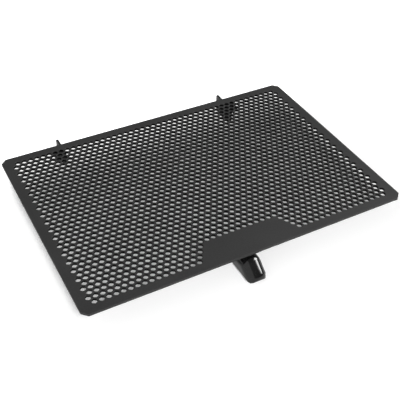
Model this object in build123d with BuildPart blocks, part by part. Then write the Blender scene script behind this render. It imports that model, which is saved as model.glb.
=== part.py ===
from build123d import *
import os
from math import acos, atan2, cos, floor, hypot, isclose, radians, sin, sqrt, tan

# Radiator guard for a motorcycle, lying face up on its three hooks.
# X runs along the sheet's long side and +Y towards its upper edge. +Z is the way the face looks.
# The origin is under the middle of the whole guard, on the surface that the hooks stand on.

# Driving dimensions in millimetres: the perforated sheet
plate_width = 379.0
plate_depth = 260.0
sheet = 3.0
corner_chamfer = 6.2
stand_height = 27.0  # from the surface to the top of the sheet

# The mesh: hexagonal holes in a honeycomb, with rows along X
mesh_pitch = 15.0
hole_across_flats = 11.6
mesh_border = 11.0  # least width of the plain rim
panel_depth = 36.5  # bare panel at the middle of the lower edge
panel_lower_width = 116.0
panel_upper_width = 92.0

# All three brackets are folded from one sheet
bracket_sheet = 3.0
bend_inside_radius = 1.6
foot_setback = 2.0  # from the sheet's edge to the end of a foot

# Upper ears: the left and the right one stand at the places of the radiator's own lugs
left_ear_x = -115.4
right_ear_x = 107.4
left_foot_width = 15.0
right_foot_width = 11.0
upper_foot_length = 20.0
left_ear_root = 10.0  # length of each ear on its foot
right_ear_root = 20.0
ear_reach = 15.5  # past the sheet's upper edge
ear_top_radius = 0.8
ear_foot_radius = 9.0
bolt_hole_diameter = 6.6
bolt_inset = 5.0  # from the upper edge to the bolt's axis
bolt_height = 11.0

# Lower hook: a fin-shaped boot moulded round the ear
hook_x = -6.7
lower_foot_width = 15.0
boot_thickness = 22.8
boot_edge_radius = 5.0
boot_corner_radius = 7.0  # at the shoulder and the belly
boot_tip_radius = 6.0
boot_reach = 18.9  # past the sheet's lower edge
boot_root = 30.0  # behind the lower edge
boot_shoulder = 1.4  # behind the lower edge, where the boot's back starts to slope
boot_belly = 4.5  # past the lower edge, where the boot's underside starts to rise
boot_tip_height = 6.7
boot_wall = 5.0  # rubber past the ear's edge

# Heights and edges that follow from these
back_z = stand_height - sheet
foot_z = back_z - bracket_sheet
bend_z = foot_z - bend_inside_radius
overall_depth = ear_reach + plate_depth + boot_reach
upper_edge = overall_depth / 2 - ear_reach
lower_edge = upper_edge - plate_depth
plate_middle = (upper_edge + lower_edge) / 2


def mesh_centres():
    """Centres of the holes: whole rows that fit inside the rim, less those in the bare panel."""
    row_pitch = mesh_pitch * sqrt(3) / 2
    hole_height = hole_across_flats * 2 / sqrt(3)
    rows = floor((plate_depth - 2 * mesh_border - hole_height) / row_pitch) + 1
    full_row = floor((plate_width - 2 * mesh_border - hole_across_flats) / mesh_pitch) + 1
    centres = []
    for row in range(rows):
        y = plate_middle + (row - (rows - 1) / 2) * row_pitch
        count = full_row - row % 2
        share = (y - lower_edge) / panel_depth
        bare_half_width = (panel_lower_width + (panel_upper_width - panel_lower_width) * share) / 2
        for place in range(count):
            x = (place - (count - 1) / 2) * mesh_pitch
            if share > 1 or abs(x) > bare_half_width:
                centres.append((x, y))
    return centres


# Perforated sheet
with BuildPart() as mesh_plate:
    with BuildSketch(Plane.XY.offset(back_z)) as face:
        with Locations((0, plate_middle)):
            Rectangle(plate_width, plate_depth)
        chamfer(face.vertices(), corner_chamfer)
        with Locations(*mesh_centres()):
            RegularPolygon(hole_across_flats / 2, 6, major_radius=False, rotation=30, mode=Mode.SUBTRACT)
    extrude(amount=sheet)
mesh_plate.part.label = "mesh_plate"


def foot_section(ear_side_x, outward, foot_end_y, foot_width):
    """Section of a foot and the bend into its ear, drawn at the foot's far end in Y."""
    bend_x = ear_side_x + outward * (bracket_sheet + bend_inside_radius)
    foot_x = ear_side_x + outward * foot_width
    with BuildSketch(Plane.XZ.offset(-foot_end_y)) as section:
        with BuildLine():
            outside = TangentArc((ear_side_x, bend_z), (bend_x, back_z), tangent=(0, 1))
            Polyline((bend_x, back_z), (foot_x, back_z), (foot_x, foot_z), (bend_x, foot_z))
            ear_inside = (ear_side_x + outward * bracket_sheet, bend_z)
            inside = TangentArc((bend_x, foot_z), ear_inside, tangent=(-outward, 0))
            Line(inside @ 1, outside @ 0)
        make_face()
    return section.sketch


# Upper brackets, handed: each foot points away from the middle of the sheet
upper_foot_end = upper_edge - foot_setback
ear_outer_end = upper_edge + ear_reach
upper_brackets = []
for name, ear_x, outward, foot_width, ear_root in (
    ("left_upper_bracket", left_ear_x, -1, left_foot_width, left_ear_root),
    ("right_upper_bracket", right_ear_x, 1, right_foot_width, right_ear_root),
):
    ear_inner_end = upper_foot_end - ear_root
    with BuildPart() as upper_bracket:
        foot = foot_section(ear_x - outward * bracket_sheet / 2, outward, upper_foot_end, foot_width)
        extrude(foot, amount=upper_foot_length)
        with BuildSketch(Plane.YZ.offset(ear_x - bracket_sheet / 2)) as ear:
            with BuildLine():
                Polyline(
                    (ear_inner_end, bend_z),
                    (upper_foot_end, bend_z),
                    (upper_foot_end, back_z),
                    (ear_outer_end, back_z),
                    (ear_outer_end, 0),
                    (ear_inner_end, 0),
                    close=True,
                )
            make_face()
            fillet(ear.vertices().group_by(Axis.Y)[0], ear_foot_radius)
            fillet(ear.vertices().sort_by_distance((ear_outer_end, back_z))[0], ear_top_radius)
            with Locations((upper_edge - bolt_inset, bolt_height)):
                Circle(bolt_hole_diameter / 2, mode=Mode.SUBTRACT)
        extrude(amount=bracket_sheet)
    upper_bracket.part.label = name
    upper_brackets.append(upper_bracket.part)

# Centres of the rounded corners of the boot's side view, in Y and Z
tip_centre = (lower_edge - boot_reach + boot_tip_radius, boot_tip_height)
shoulder_centre = (lower_edge + boot_shoulder, foot_z - boot_corner_radius)
belly_centre = (lower_edge - boot_belly, boot_corner_radius)
root_y = lower_edge + boot_root

# Lower bracket, behind the bare panel: its ear follows the boot inside the rubber
lower_foot_end = lower_edge + foot_setback
lower_ear_end = root_y - boot_wall
with BuildPart() as lower_bracket:
    lower_foot = foot_section(hook_x - bracket_sheet / 2, 1, lower_ear_end, lower_foot_width)
    extrude(lower_foot, amount=lower_ear_end - lower_foot_end)
    with BuildSketch(Plane.YZ.offset(hook_x - bracket_sheet / 2)):
        with BuildLine():
            Polyline(
                (lower_foot_end, bend_z),
                tip_centre,
                (lower_edge - boot_belly, boot_wall),
                (lower_ear_end, boot_wall),
                (lower_ear_end, bend_z),
                close=True,
            )
        make_face()
    extrude(amount=bracket_sheet)
lower_bracket.part.label = "lower_bracket"

# The boot's edges are rounded in two flats, each turned by a third of the corner and touching the same arc
side_cut = boot_edge_radius * (1 - tan(radians(15)))
rim_cut = side_cut * tan(radians(30))
second_cut = side_cut - rim_cut
rim_half_width = boot_thickness / 2 - rim_cut


def outer_tangent(first, first_radius, second, second_radius):
    """Ends of the line that touches two circles, with both on its left on the way to the second."""
    across = second[0] - first[0]
    up = second[1] - first[1]
    turn = atan2(up, across) - acos((first_radius - second_radius) / hypot(across, up))
    return [
        (centre[0] + radius * cos(turn), centre[1] + radius * sin(turn))
        for centre, radius in ((first, first_radius), (second, second_radius))
    ]


# Rubber boot, moulded round the lower ear: its back and its underside run straight from round to round
shoulder_top = (shoulder_centre[0], foot_z)
belly_bottom = (belly_centre[0], 0)
with BuildPart() as hook_boot:
    with BuildSketch(Plane.YZ.offset(hook_x - boot_thickness / 2)):
        with BuildLine():
            Polyline(belly_bottom, (root_y, 0), (root_y, foot_z), shoulder_top)
            back = Line(*outer_tangent(shoulder_centre, boot_corner_radius, tip_centre, boot_tip_radius))
            underside = Line(*outer_tangent(tip_centre, boot_tip_radius, belly_centre, boot_corner_radius))
            TangentArc(shoulder_top, back @ 0, tangent=(-1, 0))
            TangentArc(back @ 1, underside @ 0, tangent=back % 1)
            TangentArc(underside @ 1, belly_bottom, tangent=underside % 1)
        make_face()
    extrude(amount=boot_thickness)
    for side in hook_boot.faces().filter_by(Axis.X):
        chamfer(side.edges(), side_cut, rim_cut, reference=side)
    rim_edges = [edge for edge in hook_boot.edges() if isclose(abs(edge.center().X - hook_x), rim_half_width)]
    chamfer(rim_edges, second_cut)
    add(lower_bracket.part, mode=Mode.SUBTRACT)
hook_boot.part.label = "hook_boot"

os.makedirs("parts", exist_ok=True)
for piece in (mesh_plate.part, *upper_brackets, lower_bracket.part, hook_boot.part):
    export_step(piece, f"parts/{piece.label}.step")
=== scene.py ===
"""Looks of a motorcycle radiator guard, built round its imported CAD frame.

The guard lies face up on its brackets and its rubber boot. X runs along the sheet's long side,
+Y towards the upper edge with the ears, and +Z out of the face. Every length is in metres.
"""

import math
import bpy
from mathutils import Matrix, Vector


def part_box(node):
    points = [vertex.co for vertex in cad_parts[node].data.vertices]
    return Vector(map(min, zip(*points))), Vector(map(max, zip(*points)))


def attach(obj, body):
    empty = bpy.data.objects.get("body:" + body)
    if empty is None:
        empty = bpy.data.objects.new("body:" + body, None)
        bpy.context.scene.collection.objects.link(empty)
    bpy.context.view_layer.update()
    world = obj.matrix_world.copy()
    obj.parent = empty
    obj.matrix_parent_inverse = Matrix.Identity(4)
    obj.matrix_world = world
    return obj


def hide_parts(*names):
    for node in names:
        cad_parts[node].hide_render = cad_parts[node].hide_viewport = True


bl_info = {
    "name": "Radiator Guard",
    "version": (1, 0, 0),
    "blender": (4, 5, 0),
    "location": "View3D > Sidebar > Guard",
    "description": "Builds the perforated sheet, brackets and rubber boot of a motorcycle radiator guard",
    "category": "Add Mesh",
}

import bmesh
import bpy
from mathutils import Matrix, Vector

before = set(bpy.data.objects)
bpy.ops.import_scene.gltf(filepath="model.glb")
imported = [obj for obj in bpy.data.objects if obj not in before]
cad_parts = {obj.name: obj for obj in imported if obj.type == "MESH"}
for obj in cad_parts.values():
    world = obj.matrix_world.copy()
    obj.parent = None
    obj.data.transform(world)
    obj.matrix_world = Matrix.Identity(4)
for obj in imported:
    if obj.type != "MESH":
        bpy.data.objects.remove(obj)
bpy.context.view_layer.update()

MM = 0.001
SHEET_NODE = "mesh_plate"
BRACKET_NODES = ("left_upper_bracket", "right_upper_bracket", "lower_bracket")
BOOT_NODE = "hook_boot"

# Most of a noise pattern's values lie between these: for two shades, and for a change of sheen
SHADE_STOPS = (0.35, 0.65)
SHEEN_STOPS = (0.3, 0.7)


# Colour and node helpers


def linear(hex_colour):
    """Linear RGBA of an sRGB hex colour such as #3a3a3a."""
    channels = [int(hex_colour[place : place + 2], 16) / 255 for place in (1, 3, 5)]
    return [c / 12.92 if c <= 0.04045 else ((c + 0.055) / 1.055) ** 2.4 for c in channels] + [1.0]


def add_node(tree, kind, settings=None, inputs=None, links=None):
    """A new node of this kind, with its settings, its input values and its links from other sockets."""
    node = tree.nodes.new(kind)
    for name, value in (settings or {}).items():
        setattr(node, name, value)
    for socket, value in (inputs or {}).items():
        node.inputs[socket].default_value = value
    for socket, source in (links or {}).items():
        tree.links.new(source, node.inputs[socket])
    return node


def new_material(name):
    """An empty node material and its tree."""
    material = bpy.data.materials.new(name)
    material.use_nodes = True
    material.node_tree.nodes.clear()
    return material, material.node_tree


# Materials


def powder_coated_aluminium(name, dark, light, roughness):
    """Matt black powder coat, sprayed as dust and baked: a faint pebbled skin breaks up its sheen."""
    # The real pebbling is about half a millimetre across. It is drawn coarser so that it shows.
    pebble_size = 1.6 * MM
    pebble_height = 0.05 * MM
    # Slow drift in the coat's thickness, a few centimetres from one patch to the next
    drift_size = 45 * MM
    drift_share = 0.35
    sheen_spread = 0.06
    material, tree = new_material(name)
    place = add_node(tree, "ShaderNodeTexCoord")
    pebbles = add_node(
        tree,
        "ShaderNodeTexNoise",
        inputs={"Scale": 1 / pebble_size, "Detail": 2.0, "Roughness": 0.6},
        links={"Vector": place.outputs["Object"]},
    )
    drift = add_node(
        tree,
        "ShaderNodeTexNoise",
        inputs={"Scale": 1 / drift_size, "Detail": 1.0},
        links={"Vector": place.outputs["Object"]},
    )
    shade = add_node(
        tree,
        "ShaderNodeMix",
        settings={"data_type": "FLOAT", "blend_type": "MIX"},
        inputs={"Factor": drift_share},
        links={"A": pebbles.outputs["Fac"], "B": drift.outputs["Fac"]},
    )
    colour = add_node(tree, "ShaderNodeValToRGB", links={"Fac": shade.outputs["Result"]})
    for stop, position, shade_hex in zip(colour.color_ramp.elements, SHADE_STOPS, (dark, light)):
        stop.position = position
        stop.color = linear(shade_hex)
    sheen = add_node(
        tree,
        "ShaderNodeMapRange",
        inputs={
            "From Min": SHEEN_STOPS[0],
            "From Max": SHEEN_STOPS[1],
            "To Min": roughness - sheen_spread,
            "To Max": roughness + sheen_spread,
        },
        links={"Value": pebbles.outputs["Fac"]},
    )
    bump = add_node(
        tree,
        "ShaderNodeBump",
        inputs={"Strength": 0.25, "Distance": pebble_height},
        links={"Height": pebbles.outputs["Fac"]},
    )
    shader = add_node(
        tree,
        "ShaderNodeBsdfPrincipled",
        inputs={"IOR": 1.5, "Specular IOR Level": 0.22},
        links={
            "Base Color": colour.outputs["Color"],
            "Roughness": sheen.outputs["Result"],
            "Normal": bump.outputs["Normal"],
        },
    )
    add_node(tree, "ShaderNodeOutputMaterial", links={"Surface": shader.outputs["BSDF"]})
    return material


def glossy_moulded_rubber(name, dark, light, roughness):
    """Black rubber moulded in a polished tool: deep black with clear, slightly soft reflections."""
    # Faint flow marks of the moulding, a few millimetres apart
    flow_size = 6 * MM
    flow_height = 0.1 * MM
    sheen_spread = 0.02
    material, tree = new_material(name)
    place = add_node(tree, "ShaderNodeTexCoord")
    flow = add_node(
        tree,
        "ShaderNodeTexNoise",
        inputs={"Scale": 1 / flow_size, "Detail": 3.0},
        links={"Vector": place.outputs["Object"]},
    )
    colour = add_node(tree, "ShaderNodeValToRGB", links={"Fac": flow.outputs["Fac"]})
    for stop, position, shade_hex in zip(colour.color_ramp.elements, SHADE_STOPS, (dark, light)):
        stop.position = position
        stop.color = linear(shade_hex)
    sheen = add_node(
        tree,
        "ShaderNodeMapRange",
        inputs={
            "From Min": SHEEN_STOPS[0],
            "From Max": SHEEN_STOPS[1],
            "To Min": roughness - sheen_spread,
            "To Max": roughness + sheen_spread,
        },
        links={"Value": flow.outputs["Fac"]},
    )
    bump = add_node(
        tree,
        "ShaderNodeBump",
        inputs={"Strength": 0.06, "Distance": flow_height},
        links={"Height": flow.outputs["Fac"]},
    )
    shader = add_node(
        tree,
        "ShaderNodeBsdfPrincipled",
        inputs={"IOR": 1.46, "Specular IOR Level": 0.5},
        links={
            "Base Color": colour.outputs["Color"],
            "Roughness": sheen.outputs["Result"],
            "Normal": bump.outputs["Normal"],
        },
    )
    add_node(tree, "ShaderNodeOutputMaterial", links={"Surface": shader.outputs["BSDF"]})
    return material


def white_painted_floor(name, paint, lift, far_painted_light, far_start, far_end):
    """Matt white studio floor that keeps the guard's shadow.

    Where the camera sees it, white is added: a little in front and more behind the guard, rising from
    far_start to far_end in Y. The extra white behind the guard is painted light: it makes the rear rows of
    holes show a bright floor. It puts no light on the guard.
    """
    material, tree = new_material(name)
    ray = add_node(tree, "ShaderNodeLightPath")
    coat = add_node(tree, "ShaderNodeBsdfDiffuse", inputs={"Color": linear(paint)})
    place = add_node(tree, "ShaderNodeTexCoord")
    parts = add_node(tree, "ShaderNodeSeparateXYZ", links={"Vector": place.outputs["Object"]})
    # Painted light: the white seen by the camera rises from lift in front to far_painted_light behind the
    # guard
    rise = add_node(
        tree,
        "ShaderNodeMapRange",
        settings={"interpolation_type": "SMOOTHSTEP"},
        inputs={"From Min": far_start, "From Max": far_end, "To Min": lift, "To Max": far_painted_light},
        links={"Value": parts.outputs["Y"]},
    )
    strength = add_node(
        tree,
        "ShaderNodeMath",
        settings={"operation": "MULTIPLY"},
        links={0: ray.outputs["Is Camera Ray"], 1: rise.outputs["Result"]},
    )
    glow = add_node(
        tree,
        "ShaderNodeEmission",
        inputs={"Color": linear("#ffffff")},
        links={"Strength": strength.outputs["Value"]},
    )
    both = add_node(
        tree,
        "ShaderNodeAddShader",
        links={0: coat.outputs["BSDF"], 1: glow.outputs["Emission"]},
    )
    add_node(tree, "ShaderNodeOutputMaterial", links={"Surface": both.outputs["Shader"]})
    return material


# Mesh helpers


def new_piece(name, vertices, faces, materials, smooth=False):
    """A mesh object in the scene, made from these vertices and faces."""
    mesh = bpy.data.meshes.new(name)
    mesh.from_pydata(vertices, [], faces)
    for material in materials:
        mesh.materials.append(material)
    mesh.polygons.foreach_set("use_smooth", [smooth] * len(mesh.polygons))
    piece = bpy.data.objects.new(name, mesh)
    bpy.context.scene.collection.objects.link(piece)
    return piece


def hole_outline(flat_distance, corner_distance):
    """Twelve points of a hexagon with cut corners, two on each flat, with flats towards +X and -X."""
    half_flat = (corner_distance - flat_distance * math.cos(math.pi / 6)) / math.sin(math.pi / 6)
    points = []
    for flat in range(6):
        turn = Matrix.Rotation(flat * math.pi / 3, 2)
        for end in (-half_flat, half_flat):
            points.append(turn @ Vector((flat_distance, end)))
    return points


def cut_corner_rectangle(half_width, half_depth, cut):
    """Eight corners of a rectangle with its corners cut at 45 degrees, counter-clockwise."""
    return [
        (half_width, -half_depth + cut),
        (half_width, half_depth - cut),
        (half_width - cut, half_depth),
        (-half_width + cut, half_depth),
        (-half_width, half_depth - cut),
        (-half_width, -half_depth + cut),
        (-half_width + cut, -half_depth),
        (half_width - cut, -half_depth),
    ]


def mesh_centres(sheet):
    """Centres of the holes from the sheet's middle: rows along X, less the bare panel at the lower edge."""
    row_pitch = sheet.pitch * math.sqrt(3) / 2
    centres = []
    for row in range(-sheet.rows_each_way, sheet.rows_each_way + 1):
        shift = 0.5 * (row % 2)
        count = sheet.holes_each_way + row % 2
        panel_row = -row - (sheet.rows_each_way - sheet.panel_rows)
        bare = sheet.panel_top_holes / 2 + (panel_row - 1) / 2 if panel_row > 0 else 0
        for place in range(-count, sheet.holes_each_way + 1):
            x = place + shift
            if panel_row <= 0 or abs(x) > bare:
                centres.append((x * sheet.pitch, row * row_pitch))
    return centres


def turned(share):
    """Unit vector at this share of a full turn."""
    return Vector((math.cos(2 * math.pi * share), math.sin(2 * math.pi * share)))


def fin_outline(circles, middle, drawn_in, steps):
    """Outline of the smallest shape round these circles, drawn in from each side by drawn_in(that side)."""
    sides = []
    for step in range(steps):
        way = turned(step / steps)
        reach = max(centre.dot(way) + radius for centre, radius in circles)
        sides.append((way, reach - drawn_in(way) - middle.dot(way)))
    # A side that faces further away than this is never the nearest along a ray
    least_facing = 0.1
    points = []
    for step in range(steps):
        ray = turned(step / steps)
        length = min(reach / way.dot(ray) for way, reach in sides if way.dot(ray) > least_facing)
        points.append(middle + ray * length)
    return points


# Settings that a user would change


class SheetSettings(bpy.types.PropertyGroup):
    """The perforated sheet."""

    pitch: bpy.props.FloatProperty(
        name="Hole pitch", description="From hole to hole along a row", default=7.5 * MM, unit="LENGTH"
    )
    across_flats: bpy.props.FloatProperty(
        name="Hole across flats",
        description="Width of a hole between flats",
        default=5.8 * MM,
        unit="LENGTH",
    )
    across_corners: bpy.props.FloatProperty(
        name="Hole across corners",
        description="Width of a hole between its cut corners",
        default=6.3 * MM,
        unit="LENGTH",
    )
    edge_round: bpy.props.FloatProperty(
        name="Edge rounding", description="Coat rounding the sheet's edges", default=0.2 * MM, unit="LENGTH"
    )
    corner_cut: bpy.props.FloatProperty(
        name="Corner cut", description="Cut at the sheet's four corners", default=6.2 * MM, unit="LENGTH"
    )
    rows_each_way: bpy.props.IntProperty(
        name="Rows each way", description="Rows of holes on each side of the middle row", default=18
    )
    holes_each_way: bpy.props.IntProperty(
        name="Holes each way", description="Holes on each side of the middle one in an even row", default=23
    )
    panel_rows: bpy.props.IntProperty(
        name="Panel rows", description="Rows of holes that the bare panel takes up", default=4
    )
    panel_top_holes: bpy.props.IntProperty(
        name="Panel top width", description="Holes left out of the bare panel's upper row", default=12
    )
    coat_dark: bpy.props.StringProperty(
        name="Coat, dark", description="Darker shade of the coat, sRGB hex", default="#2d2d2d"
    )
    coat_light: bpy.props.StringProperty(
        name="Coat, light", description="Lighter shade of the coat, sRGB hex", default="#363636"
    )
    # Painted shade: near-black colours for the walls of the holes, standing in for the shade inside them
    hole_painted_shade_dark: bpy.props.StringProperty(
        name="Hole walls, dark", description="Darker shade of the cut walls, sRGB hex", default="#020202"
    )
    hole_painted_shade_light: bpy.props.StringProperty(
        name="Hole walls, light", description="Lighter shade of the cut walls, sRGB hex", default="#040404"
    )


class BracketSettings(bpy.types.PropertyGroup):
    """The three folded brackets."""

    edge_round: bpy.props.FloatProperty(
        name="Edge rounding", description="Rounding of the cut edges", default=0.35 * MM, unit="LENGTH"
    )
    coat_dark: bpy.props.StringProperty(
        name="Coat, dark", description="Darker shade of the coat, sRGB hex", default="#2a2a2a"
    )
    coat_light: bpy.props.StringProperty(
        name="Coat, light", description="Lighter shade of the coat, sRGB hex", default="#333333"
    )


class BootSettings(bpy.types.PropertyGroup):
    """The rubber boot of the lower hook."""

    top_edge_radius: bpy.props.FloatProperty(
        name="Top edge radius",
        description="Rounding of its upper side edges",
        default=11.4 * MM,
        unit="LENGTH",
    )
    foot_edge_radius: bpy.props.FloatProperty(
        name="Foot edge radius",
        description="Rounding of its lower side edges",
        default=3.0 * MM,
        unit="LENGTH",
    )
    corner_radius: bpy.props.FloatProperty(
        name="Corner radius", description="Rounding of its side view", default=7.0 * MM, unit="LENGTH"
    )
    tip_radius: bpy.props.FloatProperty(
        name="Tip radius", description="Rounding of its tip in side view", default=5.8 * MM, unit="LENGTH"
    )
    shoulder: bpy.props.FloatProperty(
        name="Shoulder",
        description="Start of the slope behind the sheet's edge",
        default=0.0 * MM,
        unit="LENGTH",
    )
    belly: bpy.props.FloatProperty(
        name="Belly",
        description="End of the flat underside past the sheet's edge",
        default=5.0 * MM,
        unit="LENGTH",
    )
    tip_height: bpy.props.FloatProperty(
        name="Tip height", description="Height of the tip's middle", default=5.8 * MM, unit="LENGTH"
    )
    rubber_dark: bpy.props.StringProperty(
        name="Rubber, dark", description="Darker shade of the rubber, sRGB hex", default="#0b0b0b"
    )
    rubber_light: bpy.props.StringProperty(
        name="Rubber, light", description="Lighter shade of the rubber, sRGB hex", default="#121212"
    )


class StageSettings(bpy.types.PropertyGroup):
    """Floor, light and camera."""

    floor_paint: bpy.props.StringProperty(
        name="Floor paint", description="Colour of the floor, sRGB hex", default="#f2f2f2"
    )
    floor_lift: bpy.props.FloatProperty(
        name="Floor lift", description="White added to the floor where it is seen", default=0.16
    )
    # Painted light: extra white on the floor behind the guard, seen only by the camera
    far_floor_painted_light: bpy.props.FloatProperty(
        name="Far floor lift", description="White added to the floor behind the guard", default=1.0
    )
    room_left: bpy.props.FloatProperty(
        name="Room, left", description="Brightness of the white wall on the left", default=0.9
    )
    room_dark: bpy.props.FloatProperty(
        name="Room, dark", description="Brightness of the room overhead and on the right", default=0.22
    )
    softbox_power: bpy.props.FloatProperty(
        name="Softbox", description="Power of the softbox on the right", default=40.0, subtype="POWER"
    )
    softbox_edge_power: bpy.props.FloatProperty(
        name="Softbox edge",
        description="Power of the dimmer edge above the softbox",
        default=6.0,
        subtype="POWER",
    )
    key_strength: bpy.props.FloatProperty(
        name="Key light", description="Strength of the light beside the camera", default=3.2
    )
    lens: bpy.props.FloatProperty(
        name="Lens", description="Focal length on a 36 mm sensor", default=65.13, unit="CAMERA"
    )


# Pieces


class GUARD_OT_sheet(bpy.types.Operator):
    """Build the sheet with its lattice of hexagonal holes"""

    bl_idname = "guard.sheet"
    bl_label = "Perforated sheet"

    FACE_ROUGHNESS = 0.55
    WALL_ROUGHNESS = 0.7

    def execute(self, context):
        sheet = context.scene.guard_sheet
        low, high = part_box(SHEET_NODE)
        middle = (low + high) / 2
        edge_z = high.z - sheet.edge_round
        top_outline = hole_outline(
            sheet.across_flats / 2 + sheet.edge_round, sheet.across_corners / 2 + sheet.edge_round
        )
        wall_outline = hole_outline(sheet.across_flats / 2, sheet.across_corners / 2)
        cell_radius = sheet.pitch / math.sqrt(3)
        cell_corners = [
            Vector((math.cos(angle), math.sin(angle))) * cell_radius
            for angle in (math.pi / 6 + corner * math.pi / 3 for corner in range(6))
        ]
        vertices = []
        faces = []
        walls = []
        shared = {}

        def corner_vertex(x, y, z):
            """The vertex at a cell's corner, shared by the cells that meet there."""
            key = (round(x / MM, 2), round(y / MM, 2), z)
            if key not in shared:
                shared[key] = len(vertices)
                vertices.append((x, y, z))
            return shared[key]

        points = len(wall_outline)
        for x, y in mesh_centres(sheet):
            x += middle.x
            y += middle.y
            rings = []
            for outline, z in ((top_outline, high.z), (wall_outline, edge_z), (wall_outline, low.z)):
                rings.append(range(len(vertices), len(vertices) + len(outline)))
                vertices.extend((x + point.x, y + point.y, z) for point in outline)
            top, rim, bottom = rings
            above = [corner_vertex(x + corner.x, y + corner.y, high.z) for corner in cell_corners]
            below = [corner_vertex(x + corner.x, y + corner.y, low.z) for corner in cell_corners]
            for flat in range(6):
                first, second, third = 2 * flat, 2 * flat + 1, (2 * flat + 2) % points
                faces.append((above[flat - 1], above[flat], top[second], top[first]))
                faces.append((above[flat], top[third], top[second]))
                faces.append((bottom[first], bottom[second], below[flat], below[flat - 1]))
                faces.append((bottom[second], bottom[third], below[flat]))
            for point in range(points):
                after = (point + 1) % points
                faces.append((top[point], top[after], rim[after], rim[point]))
                walls.append(len(faces))
                faces.append((rim[point], rim[after], bottom[after], bottom[point]))

        coat = powder_coated_aluminium(
            "powder-coated aluminium sheet", sheet.coat_dark, sheet.coat_light, self.FACE_ROUGHNESS
        )
        # Painted shade: the walls of the holes get a near-black colour of their own, standing in for the
        # shade inside the holes, though the real walls carry the same coat as the face
        painted_wall_shade = powder_coated_aluminium(
            "painted shade in the holes", sheet.hole_painted_shade_dark, sheet.hole_painted_shade_light, self.WALL_ROUGHNESS
        )
        piece = new_piece("perforated_sheet", vertices, faces, (coat, painted_wall_shade))
        for wall in walls:
            piece.data.polygons[wall].material_index = 1
        self.close_rim(piece.data, sheet, low, high, middle)
        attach(piece, "root")
        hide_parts(SHEET_NODE)
        return {"FINISHED"}

    def close_rim(self, mesh, sheet, low, high, middle):
        """Fill from the outer cells to the sheet's edge, above and below, and close the edge."""
        half_width = (high.x - low.x) / 2
        half_depth = (high.y - low.y) / 2
        inset = sheet.edge_round
        model = bmesh.new()
        model.from_mesh(mesh)
        loops = []
        for shrink, z in ((inset, high.z), (0.0, high.z - inset), (0.0, low.z)):
            cut = sheet.corner_cut + shrink * (math.sqrt(2) - 2)
            corners = cut_corner_rectangle(half_width - shrink, half_depth - shrink, cut)
            loops.append([model.verts.new((middle.x + x, middle.y + y, z)) for x, y in corners])
        top, rim, bottom = loops
        for upper, lower in ((top, rim), (rim, bottom)):
            for place in range(len(upper)):
                after = (place + 1) % len(upper)
                model.faces.new((upper[after], upper[place], lower[place], lower[after]))
        for z in (high.z, low.z):
            open_edges = [
                edge
                for edge in model.edges
                if edge.is_boundary and all(abs(vertex.co.z - z) < inset / 2 for vertex in edge.verts)
            ]
            filled = bmesh.ops.triangle_fill(model, use_beauty=True, edges=open_edges)
            for face in filled["geom"]:
                if isinstance(face, bmesh.types.BMFace):
                    face.normal_update()
                    if (face.normal.z > 0) != (z == high.z):
                        face.normal_flip()
        model.to_mesh(mesh)
        model.free()


class GUARD_OT_brackets(bpy.types.Operator):
    """Give the three folded brackets rounded edges and their coat"""

    bl_idname = "guard.brackets"
    bl_label = "Brackets"

    COAT_ROUGHNESS = 0.42
    WELD_DISTANCE = 0.001 * MM
    FLAT_ANGLE = math.radians(0.5)
    CORNER_ANGLE = math.radians(40)
    SHARP_ANGLE = math.radians(35)
    ROUND_SEGMENTS = 2

    def execute(self, context):
        bracket = context.scene.guard_bracket
        coat = powder_coated_aluminium(
            "powder-coated aluminium bracket", bracket.coat_dark, bracket.coat_light, self.COAT_ROUGHNESS
        )
        for node in BRACKET_NODES:
            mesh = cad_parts[node].data.copy()
            model = bmesh.new()
            model.from_mesh(mesh)
            bmesh.ops.remove_doubles(model, verts=model.verts, dist=self.WELD_DISTANCE)
            bmesh.ops.dissolve_limit(
                model, angle_limit=self.FLAT_ANGLE, verts=model.verts, edges=model.edges
            )
            # Only outside corners: the inside of each bend keeps its own radius
            sharp = [
                edge
                for edge in model.edges
                if edge.is_manifold and edge.calc_face_angle_signed() > self.CORNER_ANGLE
            ]
            bmesh.ops.bevel(
                model,
                geom=sharp,
                offset=bracket.edge_round,
                segments=self.ROUND_SEGMENTS,
                affect="EDGES",
                profile=0.5,
            )
            for face in model.faces:
                face.smooth = True
            model.to_mesh(mesh)
            model.free()
            mesh.set_sharp_from_angle(angle=self.SHARP_ANGLE)
            mesh.materials.clear()
            mesh.materials.append(coat)
            piece = bpy.data.objects.new(f"coated_{node}", mesh)
            context.scene.collection.objects.link(piece)
            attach(piece, "root")
            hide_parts(node)
        return {"FINISHED"}


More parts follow.
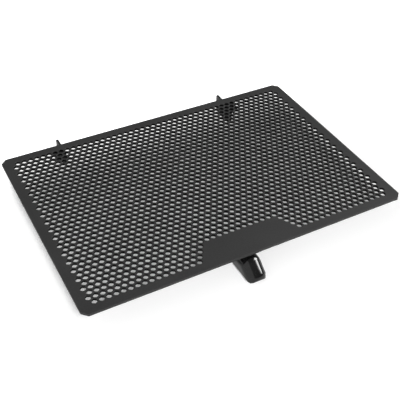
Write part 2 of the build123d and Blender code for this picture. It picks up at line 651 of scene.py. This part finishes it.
class GUARD_OT_boot(bpy.types.Operator):
    """Build the rounded rubber boot of the lower hook"""

    bl_idname = "guard.boot"
    bl_label = "Rubber boot"

    DIRECTIONS = 180
    SLICES_EACH_WAY = 20
    RUBBER_ROUGHNESS = 0.12
    # Heights of a side's direction where its rounding starts to grow, and where it is largest
    GROWTH_START = -0.9
    GROWTH_END = 0.4

    def execute(self, context):
        boot = context.scene.guard_boot
        low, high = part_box(BOOT_NODE)
        sheet_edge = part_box(SHEET_NODE)[0].y
        corner = boot.corner_radius
        circles = (
            (Vector((low.y + boot.tip_radius, boot.tip_height)), boot.tip_radius),
            (Vector((sheet_edge + boot.shoulder, high.z - corner)), corner),
            (Vector((high.y - corner, high.z - corner)), corner),
            (Vector((high.y - corner, low.z + corner)), corner),
            (Vector((sheet_edge - boot.belly, low.z + corner)), corner),
        )
        # A point inside every slice, the narrow ones at the sides too
        middle_z = (low.z + high.z + boot.foot_edge_radius - boot.top_edge_radius) / 2
        middle = Vector((sheet_edge + corner, middle_z))
        half_width = (high.x - low.x) / 2

        def edge_radius(way):
            """Large round edges above, smaller ones below, and an even change between them."""
            share = (way.y - self.GROWTH_START) / (self.GROWTH_END - self.GROWTH_START)
            share = min(max(share, 0.0), 1.0)
            share = share * share * (3 - 2 * share)
            return boot.foot_edge_radius + (boot.top_edge_radius - boot.foot_edge_radius) * share

        def drawn_in(way, off):
            """How far a slice lies inside the side view, this far from the boot's middle plane."""
            radius = edge_radius(way)
            past = max(off - (half_width - radius), 0.0)
            return radius - math.sqrt(max(radius**2 - past**2, 0.0))

        vertices = []
        rings = []
        for step in range(-self.SLICES_EACH_WAY, self.SLICES_EACH_WAY + 1):
            off = half_width * math.sin(step / self.SLICES_EACH_WAY * math.pi / 2)
            outline = fin_outline(circles, middle, lambda way: drawn_in(way, abs(off)), self.DIRECTIONS)
            rings.append(range(len(vertices), len(vertices) + self.DIRECTIONS))
            vertices.extend(((low.x + high.x) / 2 + off, point.x, point.y) for point in outline)
        faces = [tuple(reversed(rings[0])), tuple(rings[-1])]
        for ring, following in zip(rings, rings[1:]):
            for place in range(self.DIRECTIONS):
                after = (place + 1) % self.DIRECTIONS
                faces.append((ring[place], ring[after], following[after], following[place]))
        rubber = glossy_moulded_rubber(
            "glossy moulded rubber", boot.rubber_dark, boot.rubber_light, self.RUBBER_ROUGHNESS
        )
        piece = new_piece("rubber_boot", vertices, faces, (rubber,), smooth=True)
        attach(piece, "root")
        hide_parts(BOOT_NODE)
        return {"FINISHED"}


class GUARD_OT_stage(bpy.types.Operator):
    """Lay the floor, light the guard and set the camera"""

    bl_idname = "guard.stage"
    bl_label = "Stage"

    FLOOR_HALF_SIDE = 4.0
    # The floor's painted light rises over this stretch, measured in Y from the sheet's upper edge
    FAR_STRETCH = (-50 * MM, 50 * MM)
    # The left wall's edge, as X of the directions between which it fades
    WALL_EDGE = (-0.6, -0.5)
    # Directions from the middle of the sheet's face to the lamps
    SOFTBOX_WAY = Vector((0.80, -0.20, 0.57))
    SOFTBOX_EDGE_WAY = Vector((0.70, -0.27, 0.66))
    KEY_WAY = Vector((-0.1, -0.70, 0.68))
    SOFTBOX_SIZE = 0.85
    SOFTBOX_EDGE_SIZE = 0.9
    SOFTBOX_DISTANCE = 1.6
    KEY_SPREAD = math.radians(20)
    # The camera, from the middle of the sheet's face
    CAMERA_OFFSET = Vector((-0.3093, -0.5564, 0.5203))
    CAMERA_FORWARD = Vector((0.3706, 0.6578, -0.6557))
    CAMERA_UP = Vector((0.2954, 0.5859, 0.7546))

    def execute(self, context):
        stage = context.scene.guard_stage
        scene = context.scene
        scene.view_settings.view_transform = "Standard"
        self.lay_floor(stage)
        self.light_room(scene, stage)
        low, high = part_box(SHEET_NODE)
        target = Vector(((low.x + high.x) / 2, (low.y + high.y) / 2, high.z))
        for name, way, size, power in (
            ("softbox", self.SOFTBOX_WAY, self.SOFTBOX_SIZE, stage.softbox_power),
            ("softbox edge", self.SOFTBOX_EDGE_WAY, self.SOFTBOX_EDGE_SIZE, stage.softbox_edge_power),
        ):
            self.add_softbox(scene, name, target, way, size, power)
        self.add_key(scene, stage.key_strength)
        self.set_camera(scene, stage, target)
        return {"FINISHED"}

    def lay_floor(self, stage):
        half = self.FLOOR_HALF_SIDE
        corners = [(-half, -half, 0.0), (half, -half, 0.0), (half, half, 0.0), (-half, half, 0.0)]
        upper_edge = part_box(SHEET_NODE)[1].y
        paint = white_painted_floor(
            "white painted floor",
            stage.floor_paint,
            stage.floor_lift,
            stage.far_floor_painted_light,
            upper_edge + self.FAR_STRETCH[0],
            upper_edge + self.FAR_STRETCH[1],
        )
        new_piece("floor", corners, [(0, 1, 2, 3)], (paint,))

    def light_room(self, scene, stage):
        """A room with a white wall on the left, dim elsewhere, that the camera sees as plain white."""
        world = bpy.data.worlds.new("studio room")
        scene.world = world
        world.use_nodes = True
        tree = world.node_tree
        tree.nodes.clear()
        way = add_node(tree, "ShaderNodeTexCoord")
        parts = add_node(tree, "ShaderNodeSeparateXYZ", links={"Vector": way.outputs["Generated"]})
        level = add_node(
            tree,
            "ShaderNodeMapRange",
            settings={"interpolation_type": "SMOOTHSTEP"},
            inputs={
                "From Min": self.WALL_EDGE[0],
                "From Max": self.WALL_EDGE[1],
                "To Min": stage.room_left,
                "To Max": stage.room_dark,
            },
            links={"Value": parts.outputs["X"]},
        )
        ray = add_node(tree, "ShaderNodeLightPath")
        seen = add_node(
            tree,
            "ShaderNodeMix",
            settings={"data_type": "FLOAT"},
            inputs={"B": 1.0},
            links={"Factor": ray.outputs["Is Camera Ray"], "A": level.outputs["Result"]},
        )
        room = add_node(
            tree,
            "ShaderNodeBackground",
            inputs={"Color": linear("#ffffff")},
            links={"Strength": seen.outputs["Result"]},
        )
        add_node(tree, "ShaderNodeOutputWorld", links={"Surface": room.outputs["Background"]})

    def add_softbox(self, scene, name, target, way, size, power):
        """A square softbox that faces the sheet's middle and shows only as shine."""
        lamp = bpy.data.lights.new(name, "AREA")
        lamp.size = size
        lamp.energy = power
        holder = bpy.data.objects.new(name, lamp)
        scene.collection.objects.link(holder)
        holder.location = target + way.normalized() * self.SOFTBOX_DISTANCE
        holder.rotation_euler = way.to_track_quat("Z", "Y").to_euler()
        holder.visible_diffuse = False

    def add_key(self, scene, strength):
        """A soft, even light from beside the camera, so that little shadow shows. It leaves no shine."""
        lamp = bpy.data.lights.new("key light", "SUN")
        lamp.angle = self.KEY_SPREAD
        lamp.energy = strength
        holder = bpy.data.objects.new("key light", lamp)
        scene.collection.objects.link(holder)
        holder.rotation_euler = self.KEY_WAY.to_track_quat("Z", "Y").to_euler()
        holder.visible_glossy = False

    def set_camera(self, scene, stage, target):
        """The photograph's view: from the left of the lower edge, looking about 41 degrees down."""
        forward = self.CAMERA_FORWARD.normalized()
        right = forward.cross(self.CAMERA_UP).normalized()
        up = right.cross(forward)
        camera = bpy.data.cameras.new("camera")
        camera.lens = stage.lens
        holder = bpy.data.objects.new("camera", camera)
        scene.collection.objects.link(holder)
        turn = Matrix((right, up, -forward)).transposed().to_4x4()
        holder.matrix_world = Matrix.Translation(target + self.CAMERA_OFFSET) @ turn
        scene.camera = holder


class GUARD_PT_panel(bpy.types.Panel):
    """Lists the guard's pieces and their settings"""

    bl_idname = "GUARD_PT_panel"
    bl_label = "Radiator Guard"
    bl_space_type = "VIEW_3D"
    bl_region_type = "UI"
    bl_category = "Guard"

    def draw(self, context):
        for operator, settings in (
            (GUARD_OT_sheet, context.scene.guard_sheet),
            (GUARD_OT_brackets, context.scene.guard_bracket),
            (GUARD_OT_boot, context.scene.guard_boot),
            (GUARD_OT_stage, context.scene.guard_stage),
        ):
            box = self.layout.box()
            box.operator(operator.bl_idname)
            for name in settings.__annotations__:
                box.prop(settings, name)


SETTINGS = {
    "guard_sheet": SheetSettings,
    "guard_bracket": BracketSettings,
    "guard_boot": BootSettings,
    "guard_stage": StageSettings,
}
CLASSES = (
    *SETTINGS.values(),
    GUARD_OT_sheet,
    GUARD_OT_brackets,
    GUARD_OT_boot,
    GUARD_OT_stage,
    GUARD_PT_panel,
)


def register():
    for cls in CLASSES:
        bpy.utils.register_class(cls)
    for name, cls in SETTINGS.items():
        setattr(bpy.types.Scene, name, bpy.props.PointerProperty(type=cls))


def unregister():
    for name in SETTINGS:
        delattr(bpy.types.Scene, name)
    for cls in reversed(CLASSES):
        bpy.utils.unregister_class(cls)


def main():
    register()
    bpy.ops.guard.sheet()
    bpy.ops.guard.brackets()
    bpy.ops.guard.boot()
    bpy.ops.guard.stage()


if __name__ == "__main__":
    main()
